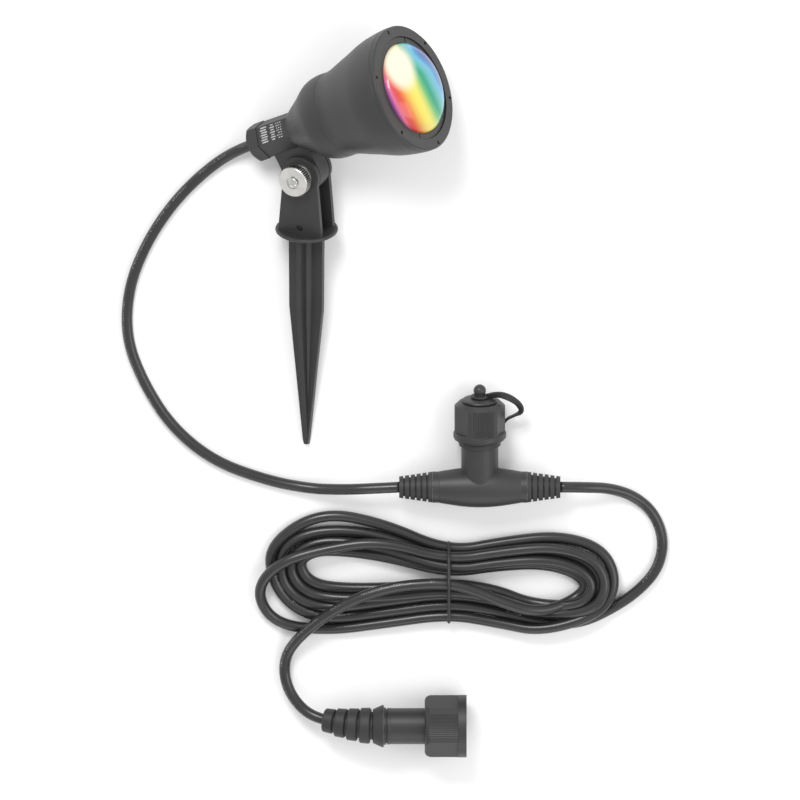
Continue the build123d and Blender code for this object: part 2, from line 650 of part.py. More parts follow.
LAMP = list(NODES)[: list(NODES).index("cord_lead")]
boxes = [NODES[name].bounding_box() for name in LAMP]
low = [min(getattr(b.min, axis) for b in boxes) for axis in "XYZ"]
high = [max(getattr(b.max, axis) for b in boxes) for axis in "XYZ"]
print("lamp box", [round(v, 2) for v in low], [round(v, 2) for v in high])
print("bottom centre", round((low[0] + high[0]) / 2, 2), round((low[1] + high[1]) / 2, 2), round(low[2], 2))
for name in ("gland_grommet", "tee_body", "cap_nut", "coupling_nut", "plug_boot"):
    box = NODES[name].bounding_box()
    print(name, [round(v, 1) for v in (*box.min, *box.max)])
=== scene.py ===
"""Colour-changing garden spotlight on a ground stake, with its lead, inline tee, hank and plug."""

import logging
import math
import random
from dataclasses import dataclass, field
from enum import Enum
from typing import Any, Callable, Iterable, Sequence

import bmesh
import bpy
from mathutils import Matrix, Vector

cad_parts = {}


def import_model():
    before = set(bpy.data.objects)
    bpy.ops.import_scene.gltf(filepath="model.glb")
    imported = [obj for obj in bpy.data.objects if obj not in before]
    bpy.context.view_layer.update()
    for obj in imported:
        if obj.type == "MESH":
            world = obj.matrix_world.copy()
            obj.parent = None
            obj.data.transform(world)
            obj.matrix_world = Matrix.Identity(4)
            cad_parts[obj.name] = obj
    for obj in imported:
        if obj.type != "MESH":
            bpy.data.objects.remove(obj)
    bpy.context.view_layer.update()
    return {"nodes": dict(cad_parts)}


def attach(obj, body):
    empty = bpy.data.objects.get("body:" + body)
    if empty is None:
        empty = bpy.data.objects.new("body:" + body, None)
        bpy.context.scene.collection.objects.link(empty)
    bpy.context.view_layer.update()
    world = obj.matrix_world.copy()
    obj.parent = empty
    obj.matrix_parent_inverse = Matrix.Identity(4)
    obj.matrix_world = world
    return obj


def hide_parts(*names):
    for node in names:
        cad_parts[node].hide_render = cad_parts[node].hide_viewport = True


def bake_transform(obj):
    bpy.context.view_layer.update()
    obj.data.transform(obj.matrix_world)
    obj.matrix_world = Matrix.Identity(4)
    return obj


LOG = logging.getLogger("spotlight")
MM = 0.001
Point = tuple[float, float, float]


def mm(points: Iterable[Sequence[float]]) -> list[Vector]:
    """Turn points in millimetres into vectors in metres.

    Args:
        points: The points, in millimetres.

    Returns:
        The same points in metres.
    """
    return [Vector(p) * MM for p in points]


# ------------------------------------------------------------------ frames
@dataclass(frozen=True)
class Place:
    """A sub-assembly's own frame: an origin in millimetres and two axes."""

    origin: Vector
    x_axis: Vector
    z_axis: Vector

    @property
    def y_axis(self) -> Vector:
        """The third axis."""
        return self.z_axis.cross(self.x_axis)

    def at(self, x: float, y: float, z: float) -> Vector:
        """Give a point of this frame, in metres in the shared frame."""
        return (self.origin + self.x_axis * x + self.y_axis * y + self.z_axis * z) * MM


@dataclass(frozen=True)
class LampPose:
    """How the lamp lies on the table, in the driving angles of the frame."""

    pivot: Point = (-24.97, 41.12, 25.33)
    stake_rise: float = 7.2
    roll: float = 25.7
    elevation: float = 28.7
    axis_offset: float = 27.0

    def yoke(self) -> Place:
        """Give the yoke's frame: x the way the lamp faces, z up the stake."""
        rise, roll = math.radians(self.stake_rise), math.radians(self.roll)
        up = Vector((0, math.cos(rise), math.sin(rise)))
        across = Vector((0, -math.sin(rise), math.cos(rise)))
        side = Vector((1, 0, 0)) * math.cos(roll) + across * math.sin(roll)
        return Place(Vector(self.pivot), side, up)

    def head(self) -> Place:
        """Give the head's frame: x away from the pivot, z forwards along the lamp."""
        yoke, lift = self.yoke(), math.radians(self.elevation)
        forward = yoke.x_axis * math.cos(lift) + yoke.z_axis * math.sin(lift)
        away = yoke.z_axis * math.cos(lift) - yoke.x_axis * math.sin(lift)
        return Place(Vector(self.pivot) + away * self.axis_offset, away, forward)


TEE_CENTRE = Vector((82.35, -167.4, 16.45))
BRANCH = Place(TEE_CENTRE, Vector((1, 0, 0)), Vector((0, 1, 0)))
HEAD_FRONT = 98.6  # from the head frame's origin to the bezel's face
SHARP_ANGLE = math.radians(35)  # edges sharper than this stay crisp


# ------------------------------------------------------------------ shader tools
class Socket:
    """A shader value that can be used in sums."""

    def __init__(self, paint: "Paint", socket: bpy.types.NodeSocket) -> None:
        """Hold a node's output socket.

        Args:
            paint: The material that the node is in.
            socket: The output socket.
        """
        self.paint = paint
        self.socket = socket

    def _math(self, operation: str, *values: Any) -> "Socket":
        """Add a Math node of that operation on the given values."""
        return self.paint.node("ShaderNodeMath", {"operation": operation}, dict(enumerate(values)))

    def __add__(self, other: Any) -> "Socket":
        """Add."""
        return self._math("ADD", self, other)

    __radd__ = __add__

    def __sub__(self, other: Any) -> "Socket":
        """Subtract."""
        return self._math("SUBTRACT", self, other)

    def __rsub__(self, other: Any) -> "Socket":
        """Subtract this from a number."""
        return self._math("SUBTRACT", other, self)

    def __mul__(self, other: Any) -> "Socket":
        """Multiply."""
        return self._math("MULTIPLY", self, other)

    __rmul__ = __mul__

    def __truediv__(self, other: Any) -> "Socket":
        """Divide."""
        return self._math("DIVIDE", self, other)

    def root(self) -> "Socket":
        """Give the square root."""
        return self._math("SQRT", self)

    def above(self, limit: float) -> "Socket":
        """Give 1 where the value is over the limit, else 0."""
        return self._math("GREATER_THAN", self, limit)

    def below(self, limit: float) -> "Socket":
        """Give 1 where the value is under the limit, else 0."""
        return self._math("LESS_THAN", self, limit)

    def whole(self) -> "Socket":
        """Give the value rounded down."""
        return self._math("FLOOR", self)

    def part(self) -> "Socket":
        """Give what is left of the value above its whole number."""
        return self._math("FRACT", self)

    def fade(self, low: float, high: float) -> "Socket":
        """Rise smoothly from 0 at low to 1 at high, or fall if high is the smaller.

        Args:
            low: The value that gives 0.
            high: The value that gives 1.

        Returns:
            The smooth step.
        """
        ends = {1: low, 2: high, 3: 0.0, 4: 1.0} if low < high else {1: high, 2: low, 3: 1.0, 4: 0.0}
        return self.paint.node(
            "ShaderNodeMapRange", {"interpolation_type": "SMOOTHSTEP"}, {0: self, **ends}
        )


class Paint:
    """A material in the making."""

    def __init__(self, name: str) -> None:
        """Start an empty material.

        Args:
            name: The material's name.
        """
        self.material = bpy.data.materials.new(name)
        self.material.use_nodes = True
        self.tree = self.material.node_tree
        self.tree.nodes.clear()

    def node(self, kind: str, settings: dict[str, Any], inputs: dict[Any, Any], out: Any = 0) -> Socket:
        """Add one node.

        Args:
            kind: The node's type.
            settings: Its settings, set before its sockets; "stops" fills a ramp.
            inputs: Values or sockets by input name or number.
            out: The output to return.

        Returns:
            The chosen output.
        """
        made = self.tree.nodes.new(kind)
        for key, value in settings.items():
            if key == "stops":
                self._fill_ramp(made.color_ramp, value)
            else:
                setattr(made, key, value)
        for key, value in inputs.items():
            if isinstance(value, Socket):
                self.tree.links.new(value.socket, made.inputs[key])
            else:
                made.inputs[key].default_value = value
        return Socket(self, made.outputs[out])

    @staticmethod
    def _fill_ramp(ramp: bpy.types.ColorRamp, stops: Sequence[tuple[float, Sequence[float]]]) -> None:
        """Set a ramp's stops, given as (position, colour)."""
        while len(ramp.elements) < len(stops):
            ramp.elements.new(1.0)
        for element, (position, colour) in zip(ramp.elements, stops):
            element.position = position
            element.color = (*colour, 1.0)

    def place(self, output: str = "Object") -> Socket:
        """Give the surface's own coordinates."""
        return self.node("ShaderNodeTexCoord", {}, {}, output)

    def noise(
        self, scale: float, detail: float = 2.0, rough: float = 0.5, where: Socket | None = None
    ) -> Socket:
        """Give noise over the surface.

        Args:
            scale: Its size, in cycles per metre.
            detail: How many octaves.
            rough: How strong the fine octaves are.
            where: Coordinates, or the object's own.

        Returns:
            The noise, about 0.5 in the middle.
        """
        where = where or self.place()
        return self.node(
            "ShaderNodeTexNoise", {}, {"Vector": where, "Scale": scale, "Detail": detail, "Roughness": rough}
        )

    def mix(self, factor: Any, first: Any, second: Any) -> Socket:
        """Mix two colours."""
        return self.node(
            "ShaderNodeMix", {"data_type": "RGBA"}, {0: factor, 6: first, 7: second}, 2
        )

    def ramp(self, value: Socket, stops: Sequence[tuple[float, Sequence[float]]]) -> Socket:
        """Turn a value into a colour by a ramp."""
        return self.node("ShaderNodeValToRGB", {"stops": stops}, {"Fac": value})

    def along(self, where: Socket, axis: Vector, origin: Vector) -> Socket:
        """Give the distance from an origin along an axis, in millimetres.

        Args:
            where: Coordinates in metres.
            axis: The axis, which need not be of unit length.
            origin: The origin, in metres.

        Returns:
            The distance times the axis's length.
        """
        offset = self.node("ShaderNodeVectorMath", {"operation": "SUBTRACT"}, {0: where, 1: tuple(origin)})
        scaled = tuple(axis / MM)
        return self.node(
            "ShaderNodeVectorMath", {"operation": "DOT_PRODUCT"}, {0: offset, 1: scaled}, "Value"
        )

    def finish(self, **inputs: Any) -> bpy.types.Material:
        """Close the material with a Principled shader.

        Args:
            **inputs: Its inputs, with underscores for the spaces in their names.

        Returns:
            The material.
        """
        named = {key.replace("_", " "): value for key, value in inputs.items()}
        shader = self.node("ShaderNodeBsdfPrincipled", {}, named)
        output = self.tree.nodes.new("ShaderNodeOutputMaterial")
        self.tree.links.new(shader.socket, output.inputs["Surface"])
        return self.material


def grey(value: float, warm: float = 0.0) -> tuple[float, float, float, float]:
    """Give a near-neutral colour, redder by a small share."""
    return (value * (1 + warm), value, value * (1 - warm), 1.0)


# ------------------------------------------------------------------ finishes
@dataclass(frozen=True)
class Moulded:
    """Moulded plastic or rubber: fine grain, faint flow marks and rounded edges."""

    name: str
    tone: float
    roughness: float
    grain: float = 0.00004
    grain_scale: float = 2600.0
    edge: float = 0.00045
    warm: float = 0.01
    # The darkest, lightest and dustiest tone, as shares of the finish's own
    tones: tuple[float, float, float] = (0.93, 1.07, 1.35)
    dust: float = 0.35

    def build(self) -> bpy.types.Material:
        """Make the material."""
        paint = Paint(self.name)
        cloud = paint.noise(38.0, 3.0, 0.6)
        speck = paint.noise(900.0, 2.0, 0.6)
        dark, light, dust = (grey(self.tone * share, self.warm) for share in self.tones)
        mottled = paint.mix(cloud.fade(0.3, 0.7), dark, light)
        dusty = paint.mix(speck.fade(0.62, 0.75) * self.dust, mottled, dust)
        rounded = paint.node("ShaderNodeBevel", {"samples": 4}, {"Radius": self.edge})
        bump = paint.node(
            "ShaderNodeBump", {},
            {"Strength": 0.55, "Distance": self.grain, "Height": paint.noise(self.grain_scale, 2.0, 0.55),
             "Normal": rounded},
        )
        return paint.finish(
            Base_Color=dusty,
            Roughness=self.roughness + (cloud - 0.5) * 0.16 + (speck - 0.5) * 0.1,
            Normal=bump,
        )


@dataclass(frozen=True)
class Jacket:
    """A cable's jacket: smooth, with faint drawing lines and small pale marks along one side."""

    name: str
    tone: float = 0.022
    roughness: float = 0.3
    # The line of marks: where it lies around the cable, in turns, and its half width
    mark_turn: float = 0.12
    mark_width: float = 0.028
    # It shows up to the first and from the second length along the cable, in metres
    mark_until: float = 0.37
    mark_from: float = 2.46
    # Its dashes and groups of dashes in each metre, and the rows of dashes in each turn
    dashes: float = 620.0
    groups: float = 95.0
    rows: float = 90.0
    dash_share: float = 0.55
    dash_gaps: float = 0.62
    group_gaps: float = 0.4
    ink: float = 0.4

    def build(self) -> bpy.types.Material:
        """Make the material; its UVs are metres along the cable and turns around it."""
        paint = Paint(self.name)
        uv = paint.node("ShaderNodeUVMap", {"uv_map": "along"}, {})
        run = paint.node("ShaderNodeSeparateXYZ", {}, {0: uv})
        turn = Socket(paint, run.socket.node.outputs[1])
        cloud = paint.noise(60.0, 3.0, 0.55)
        drawn = paint.node(
            "ShaderNodeTexNoise", {"noise_dimensions": "2D"},
            {"Vector": paint.node("ShaderNodeCombineXYZ", {}, {0: run * 14.0, 1: turn * 40.0}),
             "Scale": 1.0, "Detail": 2.0},
        )
        colour = paint.mix(cloud.fade(0.3, 0.7), grey(self.tone * 0.9), grey(self.tone * 1.12))
        colour = paint.mix(self._marks(paint, run, turn) * self.ink, colour, grey(0.5))
        bump = paint.node("ShaderNodeBump", {}, {"Strength": 0.5, "Distance": 0.00003, "Height": drawn})
        return paint.finish(
            Base_Color=colour,
            Roughness=self.roughness + (drawn - 0.5) * 0.12 + (cloud - 0.5) * 0.1,
            Normal=bump,
        )

    def _marks(self, paint: Paint, run: Socket, turn: Socket) -> Socket:
        """Give 1 where the cable carries a pale mark, else 0.

        Args:
            paint: The material.
            run: Metres along the cable.
            turn: Turns around it.

        Returns:
            The mask.
        """
        along = run * self.dashes
        cell = paint.node("ShaderNodeCombineXYZ", {}, {0: along.whole(), 1: (turn * self.rows).whole()})
        pick = paint.node("ShaderNodeTexWhiteNoise", {"noise_dimensions": "2D"}, {"Vector": cell})
        group = paint.node(
            "ShaderNodeTexWhiteNoise", {"noise_dimensions": "1D"}, {"W": (run * self.groups).whole()}
        )
        offset = turn - self.mark_turn
        band = (offset * offset).root().below(self.mark_width)
        dash = band * pick.above(self.dash_gaps) * group.above(self.group_gaps)
        shown = run.below(self.mark_until) + run.above(self.mark_from)
        return dash * along.part().below(self.dash_share) * shown


@dataclass(frozen=True)
class Plate:
    """Bright metal: faint scratches and a cloudy polish."""

    name: str
    colour: tuple[float, float, float]
    roughness: float = 0.24
    metal: float = 1.0
    edge: float = 0.0002
    dull: float = 0.82

    def build(self) -> bpy.types.Material:
        """Make the material."""
        paint = Paint(self.name)
        cloud = paint.noise(150.0, 3.0, 0.6)
        pits = paint.noise(2400.0, 2.0, 0.6)
        dull = tuple(c * self.dull for c in self.colour)
        rounded = paint.node("ShaderNodeBevel", {"samples": 4}, {"Radius": self.edge})
        bump = paint.node(
            "ShaderNodeBump", {}, {"Strength": 0.4, "Distance": 0.00003, "Height": pits, "Normal": rounded}
        )
        return paint.finish(
            Base_Color=paint.mix(cloud.fade(0.35, 0.7), (*self.colour, 1.0), (*dull, 1.0)),
            Metallic=self.metal,
            Roughness=self.roughness + (cloud - 0.5) * 0.2,
            Normal=bump,
        )


@dataclass(frozen=True)
class Knurled(Plate):
    """Bright metal whose rim has painted shade in the grooves between its teeth."""

    place: Place | None = None
    dull: float = 0.86
    teeth: int = 44
    # The radius from which the teeth show, and the edges of the painted shade in a groove, as shares of a
    # tooth
    rim: float = 9.5
    groove_shade: tuple[float, float] = (0.42, 0.28)

    def build(self) -> bpy.types.Material:
        """Make the material."""
        paint = Paint(self.name)
        where = paint.place()
        centre = self.place.at(0, 0, 0)
        x = paint.along(where, self.place.x_axis, centre)
        z = paint.along(where, self.place.z_axis, centre)
        angle = paint.node("ShaderNodeMath", {"operation": "ARCTAN2"}, {0: z, 1: x})
        middle = (angle * (self.teeth / (2 * math.pi))).part() - 0.5
        # Painted shade: a near-black band along each groove between the teeth, beyond the rim radius.
        groove_shade = (middle * middle).root().fade(*self.groove_shade) * (x * x + z * z).root().above(self.rim)
        cloud = paint.noise(150.0, 3.0, 0.6)
        pits = paint.noise(2400.0, 2.0, 0.6)
        dull = tuple(c * self.dull for c in self.colour)
        bright = paint.mix(cloud.fade(0.35, 0.7), (*self.colour, 1.0), (*dull, 1.0))
        bump = paint.node("ShaderNodeBump", {}, {"Strength": 0.4, "Distance": 0.00003, "Height": pits})
        return paint.finish(
            Base_Color=paint.mix(groove_shade, bright, (0.02, 0.02, 0.02, 1.0)),
            Metallic=self.metal,
            Roughness=self.roughness + (cloud - 0.5) * 0.2 + groove_shade * 0.2,
            Normal=bump,
        )


@dataclass(frozen=True)
class Board:
    """A circuit board: solder mask with pale tracks."""

    name: str

    def build(self) -> bpy.types.Material:
        """Make the material."""
        paint = Paint(self.name)
        cells = paint.node(
            "ShaderNodeTexVoronoi", {"feature": "DISTANCE_TO_EDGE"}, {"Vector": paint.place(), "Scale": 420.0}
        )
        track = cells.below(0.06)
        mask = paint.mix(track, (0.012, 0.07, 0.03, 1), (0.05, 0.2, 0.08, 1))
        return paint.finish(Base_Color=mask, Roughness=0.35 + track * 0.1)


@dataclass(frozen=True)
class ColourLens:
    """The lit lens: colour bands across its face, with a pale glow at its top."""

    name: str
    head: Place
    bands: tuple[tuple[float, Point], ...] = (
        (-20.0, (80, 50, 135)), (-17.8, (112, 58, 146)), (-16.0, (160, 84, 150)), (-13.9, (228, 122, 160)),
        (-12.0, (224, 88, 96)), (-10.0, (228, 92, 72)), (-8.0, (238, 132, 78)), (-5.4, (244, 192, 98)),
        (-2.4, (252, 230, 108)), (0.6, (249, 237, 112)), (2.8, (214, 223, 114)), (5.4, (110, 194, 120)),
        (8.0, (4, 160, 124)), (9.5, (50, 176, 150)), (11.4, (98, 188, 186)), (13.8, (104, 188, 222)),
        (15.6, (40, 140, 200)), (17.6, (44, 92, 168)), (20.0, (84, 70, 140)),
    )
    span: tuple[float, float] = (-20.0, 20.0)
    # The axis that the colours change along and the one that the glow rises along, as shares
    # of the head's own three axes
    across_axis: Point = (0.0, -0.555, 0.831)
    up_axis: Point = (0.985, -0.146, -0.098)
    cream: Point = (254, 246, 222)
    # The pale glow: its middle and half size, across the bands and up them, in millimetres
    glow_middle: tuple[float, float] = (-2.5, 16.0)
    glow_size: tuple[float, float] = (10.0, 17.0)
    # How far the bands bend near the top
    bend: float = 5.0
    strength: float = 0.24

    def _axis(self, shares: Point) -> Vector:
        """Give an axis from its shares of the head's three axes."""
        return self.head.x_axis * shares[0] + self.head.y_axis * shares[1] + self.head.z_axis * shares[2]

    @staticmethod
    def _linear(colour: Sequence[float]) -> tuple[float, float, float]:
        """Turn a display colour of 0 to 255 into linear light."""
        return tuple(((c / 255 + 0.055) / 1.055) ** 2.4 for c in colour)

    def build(self) -> bpy.types.Material:
        """Make the material."""
        paint = Paint(self.name)
        where = paint.place()
        front = self.head.at(0, 0, HEAD_FRONT)
        across = paint.along(where, self._axis(self.across_axis), front)
        up = paint.along(where, self._axis(self.up_axis), front)
        low, high = self.span
        stops = [((place - low) / (high - low), self._linear(colour)) for place, colour in self.bands]
        green_share = up.fade(3.0, 21.0) * across.fade(1.0, 4.0)
        colour = paint.ramp((across + green_share * self.bend - low) / (high - low), stops)
        wide = (across - self.glow_middle[0]) / self.glow_size[0]
        tall = (up - self.glow_middle[1]) / self.glow_size[1]
        reach = (wide * wide + tall * tall).root()
        colour = paint.mix(reach.fade(1.15, 0.55), colour, (*self._linear(self.cream), 1.0))
        shade = paint.mix(0.46, colour, (0.0, 0.0, 0.0, 1.0))
        haze = paint.noise(70.0, 2.0)
        return paint.finish(
            Base_Color=shade,
            Roughness=0.16 + (haze - 0.5) * 0.06,
            Emission_Color=colour,
            Emission_Strength=self.strength,
            Specular_IOR_Level=0.3,
            Coat_Weight=0.15,
            Coat_Roughness=0.08,
        )


@dataclass(frozen=True)
class Ink:
    """Pale printing ink."""

    name: str

    def build(self) -> bpy.types.Material:
        """Make the material."""
        paint = Paint(self.name)
        worn = paint.noise(1500.0, 2.0)
        return paint.finish(Base_Color=paint.mix(worn.fade(0.4, 0.62), grey(0.3), grey(0.5)), Roughness=0.6)


class Finish(Enum):
    """The record's material slots."""

    BLACK_PLASTIC = "black_plastic"
    RUBBER = "soft_black_rubber"
    JACKET = "cable_jacket"
    SEAL = "seal_rubber"
    NICKEL = "nickel"
    STEEL = "steel"
    NYLON = "nylon"
    LENS = "colour_lens"
    REFLECTOR = "reflector_film"
    HEAT_SINK = "heat_sink_aluminium"
    BOARD = "circuit_board"
    COMPONENT = "component_plastic"
    INSERT = "connector_insert"
    CONTACT = "brass_contact"
    INSULATION = "wire_insulation"
    TIE = "tie_wire"


class Workshop:
    """Holds the finished materials and dresses pieces with them."""

    NODES: dict[Finish, str] = {
        Finish.BLACK_PLASTIC: "stake yoke bezel_ring lens_retainer bell_housing rear_housing pivot_lug"
                              " gland_nut tee_body cap_nut cap_stopper plug_body coupling_nut",
        Finish.RUBBER: "tee_boot_out tee_boot_in plug_boot",
        Finish.JACKET: "cord_entry",
        Finish.SEAL: "lens_gasket housing_seal gland_grommet outlet_seal plug_seal",
        Finish.NICKEL: "thumb_nut flat_washer",
        Finish.STEEL: "pivot_bolt stake_lock_screw board_screws",
        Finish.NYLON: "friction_washers",
        Finish.LENS: "front_lens",
        Finish.REFLECTOR: "reflector",
        Finish.HEAT_SINK: "heat_sink",
        Finish.BOARD: "led_board driver_board",
        Finish.COMPONENT: "led_chips driver_parts",
        Finish.INSERT: "outlet_insert plug_insert",
        Finish.CONTACT: "outlet_pins plug_contacts",
        Finish.INSULATION: "core_wires",
        Finish.TIE: "hank_tie",
    }

    def __init__(self, nodes: dict[str, bpy.types.Object], head: Place, yoke: Place) -> None:
        """Make every finish.

        Args:
            nodes: The frame's nodes.
            head: The head's frame.
            yoke: The yoke's frame.
        """
        self.nodes = nodes
        makers = {
            Finish.BLACK_PLASTIC: Moulded("black_plastic", 0.024, 0.46, grain=0.00005),
            Finish.RUBBER: Moulded(
                "soft_black_rubber", 0.021, 0.56, grain=0.00007, grain_scale=1800.0, edge=0.0005
            ),
            Finish.JACKET: Jacket("cable_jacket"),
            Finish.SEAL: Moulded("seal_rubber", 0.02, 0.6, edge=0.0002),
            Finish.NICKEL: Plate("nickel", (0.8, 0.79, 0.76), 0.3),
            Finish.STEEL: Plate("steel", (0.66, 0.66, 0.66), 0.28),
            Finish.NYLON: Moulded("nylon", 0.55, 0.5, edge=0.0002),
            Finish.LENS: ColourLens("colour_lens", head),
            Finish.REFLECTOR: Plate("reflector_film", (0.85, 0.85, 0.86), 0.12),
            Finish.HEAT_SINK: Plate("heat_sink_aluminium", (0.7, 0.7, 0.72), 0.4),
            Finish.BOARD: Board("circuit_board"),
            Finish.COMPONENT: Moulded("component_plastic", 0.1, 0.4, edge=0.0002),
            Finish.INSERT: Moulded("connector_insert", 0.06, 0.5, edge=0.0002),
            Finish.CONTACT: Plate("brass_contact", (0.78, 0.58, 0.3), 0.3),
            Finish.INSULATION: Moulded("wire_insulation", 0.18, 0.4, warm=0.6),
            Finish.TIE: Moulded("tie_wire", 0.02, 0.5, edge=0.0002),
        }
        self.special = {
            # The stake's lock screw gets near-black steel, much darker than the other steel parts.
            "stake_lock_screw": Plate("near_black_steel", (0.09, 0.09, 0.09), 0.3).build(),
            "thumb_nut": Knurled("knurled_nickel_painted_groove_shade", (0.8, 0.79, 0.76), 0.34, place=yoke).build(),
        }
        self.materials = {finish: maker.build() for finish, maker in makers.items()}
        self.ink = Ink("marking_ink").build()

    def dress_nodes(self) -> None:
        """Give every carried-over node its finish."""
        for finish, names in self.NODES.items():
            for name in names.split():
                if name in self.nodes:
                    for slot in self.nodes[name].material_slots:
                        slot.material = self.special.get(name, self.materials[finish])
                    LOG.info("node %s: %s", name, finish.value)

    def dress(self, piece: bpy.types.Object, finish: Finish) -> None:
        """Give a new piece its finish.

        Args:
            piece: The piece.
            finish: Its finish.
        """
        piece.data.materials.clear()
        piece.data.materials.append(self.materials[finish])
        LOG.info("piece %s: %s", piece.name, finish.value)


# ------------------------------------------------------------------ mesh tools
def new_piece(name: str, mesh: bpy.types.Mesh) -> bpy.types.Object:
    """Put a mesh in the scene as a piece."""
    piece = bpy.data.objects.new(name, mesh)
    bpy.context.collection.objects.link(piece)
    return piece


def smooth_line(points: Sequence[Vector], steps: int) -> list[Vector]:
    """Read the smooth line of a cord from the spline that its route's points control.

    Args:
        points: The route, in metres.
        steps: How finely the spline is read between two points.

    Returns:
        Points along the line.
    """
    curve = bpy.data.curves.new("route", "CURVE")
    curve.dimensions = "3D"
    curve.resolution_u = steps
    spline = curve.splines.new("NURBS")
    spline.points.add(len(points) - 1)
    for knot, point in zip(spline.points, points):
        knot.co = (*point, 1.0)
    spline.order_u = 3
    spline.use_endpoint_u = True
    holder = bpy.data.objects.new("route", curve)
    bpy.context.collection.objects.link(holder)
    bpy.context.view_layer.update()
    mesh = bpy.data.meshes.new_from_object(holder)
    line = [v.co.copy() for v in mesh.vertices]
    bpy.data.meshes.remove(mesh)
    bpy.data.objects.remove(holder)
    bpy.data.curves.remove(curve)
    kept = [line[0]]
    for point in line[1:]:
        if (point - kept[-1]).length > 1e-6:
            kept.append(point)
    return kept


def swept_mesh(
    name: str,
    line: Sequence[Vector],
    section: Callable[[float], list[tuple[float, float]]],
    up: Callable[[float], Vector] = lambda share: Vector((0, 0, 1)),
) -> bpy.types.Mesh:
    """Sweep a section along a line, with UVs of metres along it and turns around it.

    Args:
        name: The mesh's name.
        line: Points along the line.
        section: Gives the section's outline, as (side, up) in metres, at a share of the length.
        up: Gives what the section's up leans towards, at a share of the length.

    Returns:
        The mesh.
    """
    count = len(line)
    lengths = [0.0]
    for a, b in zip(line, line[1:]):
        lengths.append(lengths[-1] + (b - a).length)
    shape = bmesh.new()
    layer = shape.loops.layers.uv.new("along")
    rings = []
    for i, point in enumerate(line):
        before = line[max(i - 1, 0)]
        after = line[min(i + 1, count - 1)]
        forward = (after - before).normalized()
        side = forward.cross(up(lengths[i] / lengths[-1])).normalized()
        top = side.cross(forward)
        outline = section(lengths[i] / lengths[-1])
        rings.append([shape.verts.new(point + side * x + top * y) for x, y in outline])
    around = len(rings[0])
    for a, b in zip(range(count), range(1, count)):
        for k in range(around):
            nxt = (k + 1) % around
            face = shape.faces.new((rings[a][k], rings[a][nxt], rings[b][nxt], rings[b][k]))
            face.smooth = True
            spans = ((a, k), (a, k + 1), (b, k + 1), (b, k))
            for loop, (row, column) in zip(face.loops, spans):
                loop[layer].uv = (lengths[row], column / around)
    for end in (rings[0], list(reversed(rings[-1]))):
        shape.faces.new(end)
    bmesh.ops.recalc_face_normals(shape, faces=shape.faces)
    mesh = bpy.data.meshes.new(name)
    shape.to_mesh(mesh)
    shape.free()
    return mesh


def round_section(radius: float, sides: int = 20) -> Callable[[float], list[tuple[float, float]]]:
    """Give the section of a round cord, starting at its top."""
    angles = [2 * math.pi * k / sides for k in range(sides)]
    outline = [(radius * math.sin(angle), radius * math.cos(angle)) for angle in angles]
    return lambda share: outline


def strap_section(
    width: float, thick: float, sides: int = 24
) -> Callable[[float], list[tuple[float, float]]]:
    """Give the section of a flat strap with rounded edges.

    Args:
        width: Its width, in metres.
        thick: Its thickness, in metres.
        sides: Points on the outline.

    Returns:
        A function that gives the outline, the same at every share of the length.
    """
    outline = []
    for k in range(sides):
        x, y = math.cos(2 * math.pi * k / sides), math.sin(2 * math.pi * k / sides)
        flat, tall = math.copysign(abs(x) ** 0.5, x), math.copysign(abs(y) ** 0.5, y)
        outline.append((flat * thick / 2, tall * width / 2))
    return lambda share: outline


def lathe_mesh(
    name: str, place: Place, profile: Sequence[tuple[float, float]], sides: int = 96
) -> bpy.types.Mesh:
    """Turn a closed profile about a place's z axis.

    Args:
        name: The mesh's name.
        place: The frame whose z axis is the centre.
        profile: Points as (radius, height), in millimetres.
        sides: How many segments around.

    Returns:
        The mesh.
    """
    shape = bmesh.new()
    rings = []
    for k in range(sides):
        angle = 2 * math.pi * k / sides
        rings.append(
            [shape.verts.new(place.at(r * math.cos(angle), r * math.sin(angle), z)) for r, z in profile]
        )
    for k in range(sides):
        near, far = rings[k], rings[(k + 1) % sides]
        for j in range(len(profile)):
            nxt = (j + 1) % len(profile)
            face = shape.faces.new((near[j], far[j], far[nxt], near[nxt]))
            face.smooth = True
    bmesh.ops.recalc_face_normals(shape, faces=shape.faces)
    mesh = bpy.data.meshes.new(name)
    shape.to_mesh(mesh)
    shape.free()
    mesh.set_sharp_from_angle(angle=SHARP_ANGLE)
    return mesh


def rounded_profile(
    corners: Sequence[tuple[float, float]], radius: float, steps: int = 4
) -> list[tuple[float, float]]:
    """Round the corners of a closed profile.

    Args:
        corners: The profile's corners, in millimetres.
        radius: The largest rounding, in millimetres.
        steps: Points on each rounding.

    Returns:
        The rounded profile.
    """
    made = []
    count = len(corners)
    for i, corner in enumerate(corners):
        here = Vector(corner)
        back = Vector(corners[i - 1]) - here
        ahead = Vector(corners[(i + 1) % count]) - here
        reach = min(radius, back.length * 0.45, ahead.length * 0.45)
        start, end = here + back.normalized() * reach, here + ahead.normalized() * reach
        for k in range(steps + 1):
            t = k / steps
            made.append(tuple(start * (1 - t) ** 2 + here * (2 * t * (1 - t)) + end * t**2))
    return made


